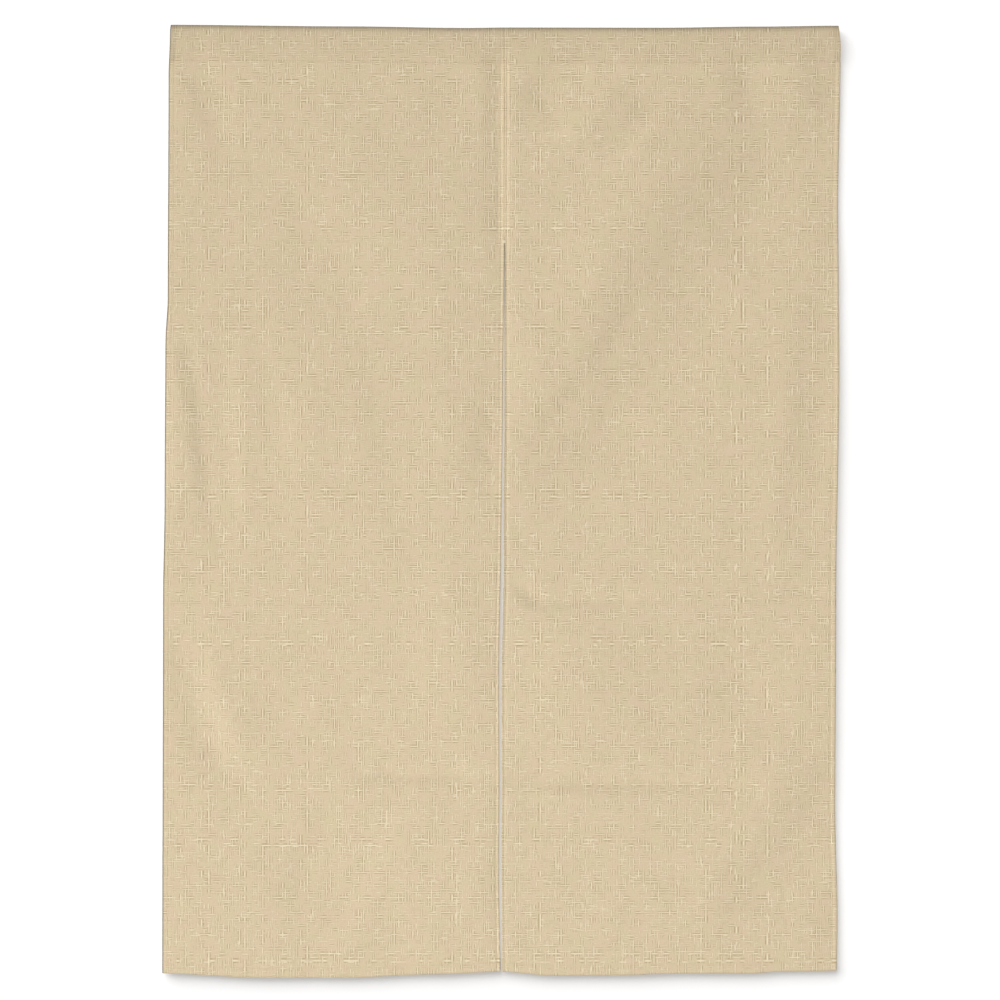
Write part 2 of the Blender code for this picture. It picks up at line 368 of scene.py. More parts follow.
@dataclass(frozen=True)
class HangingForm:
    """The shape in which the cloth hangs, in millimetres: its outline and its relief."""

    pocket_depth: float = 43.0
    foot_depth: float = 46.0
    plane: float = -0.6
    unevenness: Unevenness = Unevenness()
    # the hems: the stitching's distance, its groove's depth and half width, the bulge's distance,
    # height and half width, and the puckers' height
    side_hem: EdgeRelief = EdgeRelief(6.6, 0.22, 1.6, 3.6, 0.10, 1.9, 0.07)
    slit_hem: EdgeRelief = EdgeRelief(3.6, 0.50, 1.4, 1.6, 0.15, 1.2, 0.05)
    foot_hem: EdgeRelief = EdgeRelief(13.3, 0.32, 1.7, 7.0, 0.25, 4.5, 0.07)
    heading_hem: EdgeRelief = EdgeRelief(-3.6, 0.30, 1.6, 5.0, 0.12, 4.0, 0.12)

    def sides(self, panel: Panel, z: np.ndarray) -> tuple[np.ndarray, np.ndarray]:
        """Gives the X of a panel's left and right edges at heights."""
        half_gap = SLIT_WIDTH.read(z) / 2
        if panel is Panel.LEFT:
            return LEFT_SIDE.read(z), SLIT_LINE.read(z) - half_gap
        return SLIT_LINE.read(z) + half_gap, RIGHT_SIDE.read(z)

    def lift(self, panel: Panel, x: np.ndarray, z: np.ndarray) -> np.ndarray:
        """Works out how far the cloth stands in front of the plane in which it hangs.

        Args:
            panel: the cloth that the points are on.
            x: places across, in millimetres.
            z: heights, in millimetres.

        Returns:
            The lift towards the front, in millimetres.
        """
        total = self.unevenness.lift(x, z)
        for fold in FOLDS[Panel.BOTH] + FOLDS[panel]:
            total += fold.lift(x, z)
        left, right = self.sides(panel, z)
        if panel is Panel.LEFT:
            outer, inner = x - left, right - x
        else:
            outer, inner = right - x, x - left
        total += self.side_hem.lift(outer, z)
        total += self.slit_hem.lift(inner, z)
        total += self.foot_hem.lift(z - FOOT_EDGE.read(x), x)
        total += self.heading_hem.lift(TOP_EDGE.read(x) - self.foot_depth - z, x)
        return total

    def front(self, panel: Panel, x: np.ndarray, z: np.ndarray) -> np.ndarray:
        """Gives the Y of the cloth's front face, in millimetres."""
        return self.plane - self.lift(panel, x, z)


FORM = HangingForm()


def linear_colour(hex_colour: str) -> tuple[float, float, float, float]:
    """Turns an sRGB hex colour to the linear values that a socket takes.

    Args:
        hex_colour: six hex digits.

    Returns:
        Red, green, blue and an alpha of 1.
    """
    shares = [int(hex_colour[k:k + 2], 16) / 255 for k in (0, 2, 4)]
    red, green, blue = (s / 12.92 if s <= 0.04045 else ((s + 0.055) / 1.055) ** 2.4 for s in shares)
    return red, green, blue, 1.0


def add_node(
    tree: bpy.types.NodeTree, kind: str, inputs: dict[int | str, Any], **settings: Any
) -> bpy.types.Node:
    """Adds a node with its settings, values and links.

    Args:
        tree: the tree that it goes into.
        kind: the kind of node, as Blender names it after ShaderNode.
        inputs: for each input, by name or number, a value, or the output or the node that feeds it.
        settings: the node's own properties.

    Returns:
        The new node.
    """
    node = tree.nodes.new(f"ShaderNode{kind}")
    for name, value in settings.items():
        setattr(node, name, value)
    for name, value in inputs.items():
        if isinstance(value, bpy.types.Node):
            value = value.outputs[0]
        if isinstance(value, bpy.types.NodeSocket):
            tree.links.new(value, node.inputs[name])
        else:
            node.inputs[name].default_value = value
    return node


def new_material(name: str, uniform: dict[str, Any]) -> bpy.types.Material:
    """Makes a material whose shader has some values that are the same all over.

    Args:
        name: its name, for the real material and how that was made.
        uniform: the values, by the name of the shader's own socket.

    Returns:
        The material, for its nodes to be added to.
    """
    material = bpy.data.materials.new(name)
    material.use_nodes = True
    for socket, value in uniform.items():
        material.node_tree.nodes["Principled BSDF"].inputs[socket].default_value = value
    return material


@dataclass(frozen=True)
class SlubRun:
    """The thick, pale lengths of the threads that run one way, in millimetres.

    Real threads lie about half as far apart. They are drawn this coarse so that they show.
    """

    thread: Thread
    pitch: float
    half_width: float
    length: float
    threshold: float
    softness: float
    offset: float
    wander: float = 9.0  # how far the spacing drifts, ...
    wander_size: float = 21.0  # ... and over what distance
    middle: float = 0.42  # where across its pitch a thread lies at least, as a share of it, ...
    middle_spread: float = 0.16  # ... and how much further over it may lie
    reach: float = 1.9  # how far a slub's rounded section reaches, in half widths
    shadow_from: float = 0.2  # where the painted shadow beside a slub starts to fade, as a share of the pitch, ...
    shadow_to: float = 0.42  # ... and where it has gone
    own_noise: float = 97.3  # how far apart two threads read the noise, so that no two are alike

    def draw(
        self, tree: bpy.types.NodeTree, across: bpy.types.NodeSocket, along: bpy.types.NodeSocket,
        patch: bpy.types.Node,
    ) -> tuple[bpy.types.Node, bpy.types.Node]:
        """Draws the run.

        Args:
            tree: the material's tree.
            across: millimetres across the threads.
            along: millimetres along the threads.
            patch: how crowded the slubs are here, about 0.

        Returns:
            The slubs, from 0 to 1, and the painted shadows beside them, from 0 to 1.
        """
        drift = add_node(tree, "TexNoise", {"W": across, "Scale": 1 / self.wander_size, "Detail": 0.0},
                         noise_dimensions="1D")
        moved = add_node(tree, "Math", {0: drift, 1: self.wander, 2: across}, operation="MULTIPLY_ADD")
        turn = add_node(tree, "Math", {0: moved, 1: 1 / self.pitch, 2: self.offset},
                        operation="MULTIPLY_ADD")
        number = add_node(tree, "Math", {0: turn}, operation="FLOOR")
        within = add_node(tree, "Math", {0: turn}, operation="FRACT")
        own = add_node(tree, "TexWhiteNoise", {"W": number}, noise_dimensions="1D")
        middle = add_node(tree, "Math", {0: own, 1: self.middle_spread, 2: self.middle},
                          operation="MULTIPLY_ADD")
        away = add_node(tree, "Math", {0: within, 1: middle}, operation="SUBTRACT")
        distance = add_node(tree, "Math", {0: away}, operation="ABSOLUTE")
        section = add_node(tree, "MapRange", {
            "Value": distance, "From Max": self.reach * self.half_width / self.pitch, "To Min": 1.0,
            "To Max": 0.0}, interpolation_type="SMOOTHSTEP")
        apart = add_node(tree, "Math", {0: own, 1: self.own_noise}, operation="MULTIPLY")
        far = add_node(tree, "Math", {0: along, 1: 1 / self.length}, operation="MULTIPLY")
        spot = add_node(tree, "CombineXYZ", {"X": apart, "Y": far})
        noise = add_node(tree, "TexNoise", {"Vector": spot, "Scale": 1.0, "Detail": 1.0, "Roughness": 0.6},
                         noise_dimensions="2D")
        level = add_node(tree, "Math", {0: noise, 1: patch}, operation="ADD")
        shown = add_node(tree, "MapRange", {
            "Value": level, "From Min": self.threshold, "From Max": self.threshold + self.softness},
            interpolation_type="SMOOTHSTEP")
        slub = add_node(tree, "Math", {0: section, 1: shown}, operation="MULTIPLY")
        near = add_node(tree, "MapRange", {
            "Value": distance, "From Min": self.shadow_from, "From Max": self.shadow_to, "To Min": 1.0,
            "To Max": 0.0}, interpolation_type="SMOOTHSTEP")
        rest = add_node(tree, "Math", {0: 1.0, 1: section}, operation="SUBTRACT")
        beside = add_node(tree, "Math", {0: rest, 1: near}, operation="MULTIPLY")
        return slub, add_node(tree, "Math", {0: beside, 1: shown}, operation="MULTIPLY")


@dataclass(frozen=True)
class SlubCloth:
    """Cotton and polyester cloth woven plain with uneven, slubby yarn, to look like linen.

    The eye gets a matt, warm sand colour crossed both ways by short pale threads, closer together in
    some patches than in others, each with a small shadow beside it. Sizes are in millimetres.
    """

    name: str
    ground: str = "CFC09C"
    ground_rosy: str = "D3BDA1"
    slub: str = "E6D8BA"
    # the painted shadow beside each slub
    slub_shadow: str = "A8946F"
    slub_shadow_spread: float = 0.9
    speckle: float = 0.045  # how far each yarn's own tone is off the ground's, up or down
    doubled: float = 0.885  # the tone of two layers of cloth, which let less light through
    # how much the painted shade at a rim darkens the cloth
    rim_shade_strength: float = 0.22
    thread_height: float = 0.085
    yarn_scale: float = 0.42
    fine_pitch: float = 1.1  # the ground weave's pitch, twice the real one so that it shows
    fine_weight: float = 0.5
    patch_size: float = 24.0
    crowding: float = 0.24
    blush_size: float = 26.0
    # the runs: the thread, its pitch, half width, length, threshold, softness and offset
    runs: tuple[SlubRun, ...] = (
        SlubRun(Thread.WARP, 5.0, 0.64, 15.0, 0.45, 0.28, 0.0),
        SlubRun(Thread.WEFT, 5.2, 0.64, 14.0, 0.46, 0.28, 0.37),
        SlubRun(Thread.WARP, 2.8, 0.52, 12.0, 0.49, 0.26, 0.61),
        SlubRun(Thread.WEFT, 2.8, 0.52, 12.0, 0.49, 0.26, 0.23),
    )

    def material(self) -> bpy.types.Material:
        """Makes the material.

        Returns:
            The material, on the piece's own map of flat cloth places and its two attributes.
        """
        material = new_material(self.name, {
            "Roughness": 0.88, "Sheen Weight": 0.08, "Sheen Roughness": 0.6, "Specular IOR Level": 0.25})
        tree = material.node_tree
        shader = tree.nodes["Principled BSDF"]
        place = add_node(tree, "UVMap", {}, uv_map=PLACE_MAP)
        in_mm = add_node(tree, "VectorMath", {0: place, "Scale": 1 / MM}, operation="SCALE")
        yarn = self.cloud(tree, in_mm, self.yarn_scale, detail=3.0, rough=0.7)
        # sunk is the painted shadow beside each slub
        raised, sunk = self.weave(tree, in_mm)
        toned = add_node(tree, "VectorMath", {
            0: self.colour(tree, in_mm, raised, sunk), "Scale": self.tone(tree, yarn).outputs[0]},
            operation="SCALE")
        tree.links.new(toned.outputs[0], shader.inputs["Base Color"])
        tree.links.new(self.relief(tree, in_mm, yarn, raised).outputs[0], shader.inputs["Normal"])
        return material

    def cloud(
        self, tree: bpy.types.NodeTree, in_mm: bpy.types.Node, scale: float, detail: float, rough: float
    ) -> bpy.types.Node:
        """Adds soft chance patches on the flat cloth, at a scale for each millimetre."""
        return add_node(tree, "TexNoise", {
            "Vector": in_mm, "Scale": scale, "Detail": detail, "Roughness": rough}, noise_dimensions="2D")

    def weave(
        self, tree: bpy.types.NodeTree, in_mm: bpy.types.Node
    ) -> tuple[bpy.types.Node, bpy.types.Node]:
        """Lays the runs over one another.

        Args:
            tree: the material's tree.
            in_mm: the place on the flat cloth, in millimetres.

        Returns:
            The slubs, from 0 to 1, and the painted shadows beside them, from 0 to 1.
        """
        split = add_node(tree, "SeparateXYZ", {0: in_mm})
        crowds = self.cloud(tree, in_mm, 1 / self.patch_size, detail=2.0, rough=0.55)
        patch = add_node(tree, "Math", {0: crowds, 1: self.crowding, 2: -self.crowding / 2},
                         operation="MULTIPLY_ADD")
        laid = None
        for run in self.runs:
            across, along = (0, 1) if run.thread is Thread.WARP else (1, 0)
            drawn = run.draw(tree, split.outputs[across], split.outputs[along], patch)
            if laid is not None:
                drawn = tuple(add_node(tree, "Math", {0: under, 1: over}, operation="MAXIMUM")
                              for under, over in zip(laid, drawn))
            laid = drawn
        return laid

    def colour(
        self, tree: bpy.types.NodeTree, in_mm: bpy.types.Node, raised: bpy.types.Node, sunk: bpy.types.Node
    ) -> bpy.types.NodeSocket:
        """Colours the ground, rosier in places, then the painted shadows beside the slubs, then the slubs.

        Args:
            tree: the material's tree.
            in_mm: the place on the flat cloth, in millimetres.
            raised: the slubs.
            sunk: the painted shadows beside the slubs.

        Returns:
            The colour of one layer of cloth.
        """
        rosy = self.cloud(tree, in_mm, 1 / self.blush_size, detail=3.0, rough=0.65)
        blush = add_node(tree, "MapRange", {
            "Value": rosy, "From Min": NOISE_LOW, "From Max": NOISE_HIGH})
        shadowed = add_node(tree, "Math", {0: sunk, 1: self.slub_shadow_spread}, operation="POWER")
        colour = linear_colour(self.ground)
        for share, over in ((blush, self.ground_rosy), (shadowed, self.slub_shadow), (raised, self.slub)):
            mixed = add_node(tree, "Mix", {"Factor": share, MIX_A: colour, MIX_B: linear_colour(over)},
                             data_type="RGBA")
            colour = mixed.outputs[MIX_RESULT]
        return colour

    def tone(self, tree: bpy.types.NodeTree, yarn: bpy.types.Node) -> bpy.types.Node:
        """Works out the tone from the yarn's speckle, the cloth's layers and the painted shade and
        highlight at its rims.
        """
        speckle = add_node(tree, "MapRange", {
            "Value": yarn, "From Min": NOISE_LOW, "From Max": NOISE_HIGH, "To Min": 1 - self.speckle,
            "To Max": 1 + self.speckle})
        layers = add_node(tree, "Attribute", {}, attribute_name=LAYERS)
        depth = add_node(tree, "MapRange", {
            "Value": layers.outputs["Fac"], "From Min": 1.0, "From Max": 2.0, "To Min": 1.0,
            "To Max": self.doubled})
        # the painted shade and highlight at the rims
        rim_shade = add_node(tree, "Attribute", {}, attribute_name=PAINTED_RIM_SHADE)
        rim = add_node(tree, "Math", {0: rim_shade.outputs["Fac"], 1: -self.rim_shade_strength, 2: 1.0},
                       operation="MULTIPLY_ADD")
        flat = add_node(tree, "Math", {0: speckle, 1: depth}, operation="MULTIPLY")
        return add_node(tree, "Math", {0: flat, 1: rim}, operation="MULTIPLY")

    def relief(
        self, tree: bpy.types.NodeTree, in_mm: bpy.types.Node, yarn: bpy.types.Node, raised: bpy.types.Node
    ) -> bpy.types.Node:
        """Raises the slubs and the yarns over a fine ground weave, as bump."""
        cross, over = (
            add_node(tree, "TexWave", {"Vector": in_mm, "Scale": WAVE_SCALE / self.fine_pitch},
                     wave_type="BANDS", bands_direction=way)
            for way in "XY"
        )
        fine = add_node(tree, "Math", {0: cross.outputs["Fac"], 1: over.outputs["Fac"]},
                        operation="MULTIPLY")
        ground = add_node(tree, "Math", {0: fine, 1: self.fine_weight, 2: yarn}, operation="MULTIPLY_ADD")
        height = add_node(tree, "Math", {0: ground, 1: raised}, operation="ADD")
        return add_node(tree, "Bump", {"Height": height, "Distance": self.thread_height * MM,
                                       "Strength": 1.0})


@dataclass(frozen=True)
class SewingThread:
    """Spun polyester sewing thread, twisted: sand-coloured, smoother than the cloth, its twist showing."""

    name: str = "sewing_thread_spun_polyester"
    light: str = "E4D4B4"
    dark: str = "C6B38F"
    twist_pitch: float = 0.6
    twist_height: float = 0.08
    twist_waver: float = 1.5

    def material(self) -> bpy.types.Material:
        """Makes the material, on Object coordinates."""
        material = new_material(self.name, {"Roughness": 0.62, "Sheen Weight": 0.1})
        tree = material.node_tree
        shader = tree.nodes["Principled BSDF"]
        place = add_node(tree, "TexCoord", {})
        in_mm = add_node(tree, "VectorMath", {0: place.outputs["Object"], "Scale": 1 / MM},
                         operation="SCALE")
        twist = add_node(tree, "TexWave", {
            "Vector": in_mm, "Scale": WAVE_SCALE / self.twist_pitch, "Distortion": self.twist_waver},
            wave_type="BANDS", bands_direction="DIAGONAL")
        colour = add_node(tree, "Mix", {
            "Factor": twist.outputs["Fac"], MIX_A: linear_colour(self.dark),
            MIX_B: linear_colour(self.light)}, data_type="RGBA")
        tree.links.new(colour.outputs[MIX_RESULT], shader.inputs["Base Color"])
        bump = add_node(tree, "Bump", {
            "Height": twist.outputs["Fac"], "Distance": self.twist_height * MM, "Strength": 1.0})
        tree.links.new(bump.outputs[0], shader.inputs["Normal"])
        return material


def make_alone(obj: bpy.types.Object) -> None:
    """Deselects everything, then selects one object and makes it active."""
    bpy.ops.object.select_all(action="DESELECT")
    obj.select_set(True)
    bpy.context.view_layer.objects.active = obj


@dataclass(frozen=True)
class StitchLine:
    """A line of machine stitching, as points close together, and the side of the cloth that it is on."""

    points: np.ndarray
    face: Face
    pitch: float = 3.3
    length: float = 2.9
    grip: float = 0.4  # how far from its middle a stitch follows the line, as a share of its length
    room: float = 0.45  # how much of the line the last stitch needs beyond its middle, as such a share

    def lay(self) -> tuple[np.ndarray, np.ndarray]:
        """Lays the stitches one after another, the ones at the back half a stitch on.

        Returns:
            The middle of each stitch and the way that it runs.
        """
        steps = np.linalg.norm(np.diff(self.points, axis=0), axis=1)
        run = np.concatenate([[0.0], np.cumsum(steps)])
        first = 0.5 * self.length + (0.0 if self.face is Face.FRONT else 0.5 * self.pitch)
        middles = np.arange(first, run[-1] - self.room * self.length, self.pitch)
        reach = self.grip * self.length
        back, here, on = (
            np.stack([np.interp(middles + d, run, self.points[:, k]) for k in range(3)], axis=1)
            for d in (-reach, 0.0, reach)
        )
        ways = on - back
        return here, ways / np.linalg.norm(ways, axis=1)[:, None]


@dataclass
class Stitching:
    """Stitches of one thread, each in relief, in millimetres.

    The real thread is about 0.3 mm thick. It is drawn a little thicker so that it shows.
    """

    name: str
    finish: SewingThread
    lines: list[StitchLine] = field(default_factory=list)
    width: float = 0.5
    height: float = 0.36
    sunk: float = 0.15
    dip: float = 0.2
    sides: int = 6
    filled: float = 0.96  # how much of its length the thread fills
    lengths: tuple[float, float] = (0.94, 1.03)  # of the stitches, as shares of their line's own
    bend_at: float = 0.3  # where a stitch bends down, as a share of its length from its middle
    end_width: float = 0.6  # the width of its ends, as a share of its own
    askew: float = 0.045  # how far they stray from the line
    smooth_under: float = 70.0  # degrees
    seed: int = 7

    def model_stitch(self) -> tuple[np.ndarray, np.ndarray]:
        """Models one stitch, one millimetre long along X, its ends pulled into the cloth behind it.

        Returns:
            Its points and its faces.
        """
        bpy.ops.object.select_all(action="DESELECT")
        bpy.ops.mesh.primitive_cylinder_add(
            vertices=self.sides, radius=0.5, depth=self.filled, end_fill_type="TRIFAN",
            rotation=(0, math.pi / 2, 0))
        stitch = bpy.context.active_object
        bpy.ops.object.transform_apply(location=False, rotation=True, scale=False)
        bpy.ops.object.mode_set(mode="EDIT")
        bpy.ops.mesh.select_all(action="SELECT")
        bpy.ops.transform.resize(value=(1.0, self.height, self.width))
        for bend in (-self.bend_at, self.bend_at):
            bpy.ops.mesh.select_all(action="SELECT")
            bpy.ops.mesh.bisect(plane_co=(bend, 0, 0), plane_no=(1, 0, 0))
        bpy.ops.mesh.select_all(action="DESELECT")
        bpy.ops.object.mode_set(mode="OBJECT")
        for vertex in stitch.data.vertices:
            vertex.select = abs(vertex.co.x) > 1.5 * self.bend_at
        bpy.ops.object.mode_set(mode="EDIT")
        bpy.ops.transform.resize(
            value=(1.0, self.end_width, self.end_width), center_override=(0, 0, 0))
        bpy.ops.transform.translate(value=(0.0, self.dip, 0.0))
        bpy.ops.object.mode_set(mode="OBJECT")
        stitch.data.calc_loop_triangles()
        points = np.array([tuple(v.co) for v in stitch.data.vertices])
        faces = np.array([tuple(t.vertices) for t in stitch.data.loop_triangles])
        spent = stitch.data
        bpy.data.objects.remove(stitch)
        bpy.data.meshes.remove(spent)
        return points, faces

    def make(self) -> bpy.types.Object:
        """Copies the stitch along every line, dresses the piece and hangs it on the frame.

        Returns:
            The object that holds all the stitches.
        """
        stitch, faces = self.model_stitch()
        draw = np.random.default_rng(self.seed)
        bodies = []
        for line in self.lines:
            middles, ways = line.lay()
            count = len(middles)
            out = np.array([0.0, float(line.face.value), 0.0])
            beside = np.cross(ways, out)
            ways = ways + beside * draw.normal(0.0, self.askew, count)[:, None]
            reach = line.length * draw.uniform(*self.lengths, count)
            middles = middles + out * (self.height / 2 - self.sunk)
            bodies.append(
                middles[:, None, :]
                + stitch[None, :, 0:1] * (ways * reach[:, None])[:, None, :]
                - stitch[None, :, 1:2] * out[None, None, :]
                + stitch[None, :, 2:3] * beside[:, None, :]
            )
        body = np.concatenate(bodies)
        firsts = np.arange(len(body)) * len(stitch)
        all_faces = (faces[None, :, :] + firsts[:, None, None]).reshape(-1, 3)
        mesh = bpy.data.meshes.new(self.name)
        mesh.from_pydata((body.reshape(-1, 3) * MM).tolist(), [], all_faces.tolist())
        thread = bpy.data.objects.new(self.name, mesh)
        bpy.context.scene.collection.objects.link(thread)
        make_alone(thread)
        bpy.ops.object.mode_set(mode="EDIT")
        bpy.ops.mesh.select_all(action="SELECT")
        bpy.ops.mesh.normals_make_consistent(inside=False)
        bpy.ops.object.mode_set(mode="OBJECT")
        bpy.ops.object.shade_smooth_by_angle(angle=math.radians(self.smooth_under))
        mesh.materials.append(self.finish.material())
        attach(thread, BODY)
        return thread


@dataclass(frozen=True)
class ClothGrid:
    """A cloth as rows of points, from the first row to the last, each from left to right.

    A row tells for each of its points the place, the place on the flat cloth, both in millimetres, how
    many cloths thick it is, and its painted shade at the rims.
    """

    name: str
    rows: list[tuple[np.ndarray, np.ndarray, np.ndarray, np.ndarray]]
    cloth: float
    offset: float
    most_layers: float = 2.0
    smooth_under: float = 42.0  # degrees

    def build(self, finish: SlubCloth) -> bpy.types.Object:
        """Lays a grid on the points, gives it its thickness and dresses it.

        Args:
            finish: the cloth that it is made of.

        Returns:
            The finished sheet, at the origin.
        """
        places, flat, layers, rim_shade = (np.stack(part) for part in zip(*self.rows))
        rows, columns = layers.shape
        bpy.ops.object.select_all(action="DESELECT")
        bpy.ops.mesh.primitive_grid_add(x_subdivisions=columns - 1, y_subdivisions=rows - 1, size=1.0)
        sheet = bpy.context.active_object
        sheet.name = sheet.data.name = self.name
        mesh = sheet.data
        mesh.vertices.foreach_set("co", (places * MM).astype(np.float32).ravel())
        corners = np.empty(len(mesh.loops), dtype=np.int32)
        mesh.loops.foreach_get("vertex_index", corners)
        mesh.uv_layers[0].name = PLACE_MAP
        mapped = (flat * MM).reshape(-1, 2)[corners]
        mesh.uv_layers[PLACE_MAP].uv.foreach_set("vector", mapped.astype(np.float32).ravel())
        for label, values in ((LAYERS, layers), (PAINTED_RIM_SHADE, rim_shade)):
            told = mesh.attributes.new(label, "FLOAT", "POINT")
            told.data.foreach_set("value", values.astype(np.float32).ravel())
        group = sheet.vertex_groups.new(name=LAYERS)
        levels = np.round(layers.ravel() / self.most_layers, 2)
        for level in np.unique(levels):
            group.add(np.flatnonzero(levels == level).tolist(), float(level), "REPLACE")
        mesh.update()
        make_alone(sheet)
        wall = sheet.modifiers.new("thickness", "SOLIDIFY")
        wall.thickness = self.cloth * self.most_layers * MM
        wall.offset = self.offset
        wall.vertex_group = LAYERS
        wall.use_quality_normals = True
        bpy.ops.object.modifier_apply(modifier=wall.name)
        sheet.vertex_groups.clear()
        bpy.ops.object.shade_smooth_by_angle(angle=math.radians(self.smooth_under))
        mesh.materials.clear()
        mesh.materials.append(finish.material())
        return sheet


RIM_WIDTH = 1.2  # the width of the painted shade along a pressed fold's rim, in millimetres
PALE_AT, PALE_WIDTH, PALENESS = 3.9, 1.3, 0.3  # the painted highlight just inside the rim, as a paler band


def rim_shade_and_highlight(inwards: np.ndarray, darkness: float | np.ndarray = 1.0) -> np.ndarray:
    """Gives the painted shade at a pressed fold's rim, where the cloth turns away, and a painted highlight
    a little inside it.

    Args:
        inwards: distance from the fold, in millimetres.
        darkness: how dark the rim's painted shade is, as a multiple of a plain rim; below 0 it paints the
            rim paler.

    Returns:
        The painted shade, 1 at a plain rim, and below 0 where the painted highlight makes the cloth paler.
    """
    rim = np.exp(-((inwards / RIM_WIDTH) ** 2))
    return darkness * rim - PALENESS * np.exp(-(((inwards - PALE_AT) / PALE_WIDTH) ** 2))


@dataclass(frozen=True)
class HemTurn:
    """How an edge of the cloth is turned to the back, in millimetres, seen in section.

    The turned flap is two cloths thick, because its raw edge is turned in once more.
    """

    cloth: float
    width: float
    air: float = 0.05
    fold_steps: int = 6
    flap_shares: tuple[float, ...] = (1.0, 0.985, 0.86, 0.66, 0.45, 0.25, 0.1)

    @property
    def depth(self) -> float:
        """How far behind the cloth the flap lies, from middle to middle."""
        return 1.5 * self.cloth + self.air

    def flap_stations(self) -> list[float]:
        """Distances inwards from the fold's middle, along the flap, from its inner end to the fold."""
        return [self.width * share for share in self.flap_shares]

    def main_stations(self, reach: float, step: float) -> list[float]:
        """Distances inwards from the fold's middle, along the cloth itself."""
        count = round(reach / step)
        return [step * (k + 1) for k in range(count)]


@dataclass
class HangingPanel:
    """One hemmed panel of the curtain, from the heading's stitching to its foot, in millimetres."""

    panel: Panel
    finish: SlubCloth
    form: HangingForm = FORM
    cloth: float = 0.55
    side_hem: float = 8.0
    slit_hem: float = 8.0
    foot_hem: float = 15.0
    turn_in: float = 7.0
    column_step: float = 5.4
    row_step: float = 4.1
    near_edge: float = 9.8
    near_step: float = 0.7
    corner_room: float = 2.3  # how much further back the foot's flap lies at a corner
    side_stitch: float = 6.6
    foot_stitch: float = 13.3
    outer_rim_shade: float = 4.2  # how dark the painted shade on the left panel's outer rim is, which faces the light edge on
    cut_width: float = 430.0
    drop: float = 1200.0
    stitch_step: float = 4.0
    first_stitch: tuple[float, float] = (-1192.5, -1180.0)  # the sides' lowest stitch, front and back
    stitch_inset: float = 1.5  # the foot's line of stitches starts and ends so far from the sides
    foot_rim_shade_reach: float = 4.0  # how far up the painted shade of the foot's own rim shows
    corner_reach: float = 1.6  # where the corner's extra depth has gone, in widths of the side's hem
    foot_rows: tuple[float, ...] = (1.2, 2.6, 4.2, 6.0, 8.0, 10.0, 11.4, 12.4, 13.4, 14.6, 16.0, 18.0)
    sheet: bpy.types.Object = field(init=False, default=None)

    @property
    def name(self) -> str:
        """The CAD node that this panel stands for."""
        return f"panel_{self.panel.value}"

    def columns(self) -> list[tuple[float, float, float, float]]:
        """Lists the columns from the left flap's inner end to the right flap's.

        Returns:
            For each column, its share of the way across, its offset in millimetres, how far it lies
            behind the cloth, and its layers.
        """
        hems = (self.side_hem, self.slit_hem)
        if self.panel is Panel.RIGHT:
            hems = (self.slit_hem, self.side_hem)
        sides = []
        for width in hems:
            turn = HemTurn(self.cloth, width)
            radius = turn.depth / 2
            middle = radius + self.cloth / 2
            side = [(middle + d, turn.depth, 2.0) for d in turn.flap_stations()]
            for k in range(turn.fold_steps + 1):
                angle = math.pi * k / turn.fold_steps
                side.append((middle - radius * math.sin(angle), radius * (1 + math.cos(angle)), 1.0))
            side += [(middle + d, 0.0, 1.0) for d in turn.main_stations(self.near_edge, self.near_step)]
            sides.append(side)
        left = [(0.0, d, depth, layers) for d, depth, layers in sides[0]]
        right = [(1.0, -d, depth, layers) for d, depth, layers in reversed(sides[1])]
        inset = sides[0][-1][0]
        top = np.array([-self.form.foot_depth])
        edges = self.form.sides(self.panel, top)
        width = float(edges[1][0] - edges[0][0])
        count = round((width - 2 * inset) / self.column_step)
        body = []
        for k in range(1, count):
            way = k / count
            body.append((way, inset * (1 - 2 * way), 0.0, 1.0))
        return left + body + right

    def grid(self) -> ClothGrid:
        """Works out where every point of the panel's middle surface is.

        Returns:
            The panel's points, from the foot flap's inner end up the front to the heading.
        """
        columns = np.array(self.columns())
        share, offset, behind, layers_across = columns.T
        turn = HemTurn(self.cloth, self.foot_hem)
        foot = np.full(len(columns), -self.drop / 2)
        for _ in range(2):  # the foot's height and where the columns meet it settle in two steps
            x_foot = self.across(share, offset, foot)
            foot = FOOT_EDGE.read(x_foot)
        depth = self.foot_fold(x_foot)
        radius = depth / 2
        middle = radius + self.cloth / 2
        rows = []

        def add_row(z: np.ndarray, row_depth: np.ndarray, back_y: float, back_z: float,
                    flat_z: np.ndarray, layers: float) -> None:
            """Adds one row: its height and depth, which way its back faces, and its flat place."""
            here = self.form.sides(self.panel, z)
            x = self.across(share, offset, z)
            front = self.form.front(self.panel, x, z) + self.cloth / 2
            y = front + row_depth + back_y * behind
            place = np.stack([x, y, z + back_z * behind], axis=1)
            # a flap's place on the flat cloth is as far outside the fold as its column is inside
            flat_x = x + np.where(behind > 0.75 * self.cloth, 2 * np.sign(share - 0.5) * abs(offset), 0.0)
            flat = np.stack([flat_x, flat_z], axis=1)
            # painted shade at the rims of the folded edges, and a painted highlight just inside them
            low = rim_shade_and_highlight(z - foot)
            if self.panel is Panel.LEFT:
                side = rim_shade_and_highlight(x - here[0], self.outer_rim_shade)
                side += rim_shade_and_highlight(here[1] - x, LEFT_SLIT_SHADE.read(z))
            else:
                side = rim_shade_and_highlight(here[1] - x) + rim_shade_and_highlight(x - here[0], RIGHT_SLIT_SHADE.read(z))
            rim_shade = np.where(z > foot + self.foot_rim_shade_reach, side, np.maximum(low, side))
            rows.append((place, flat, np.maximum(layers_across, layers), rim_shade))

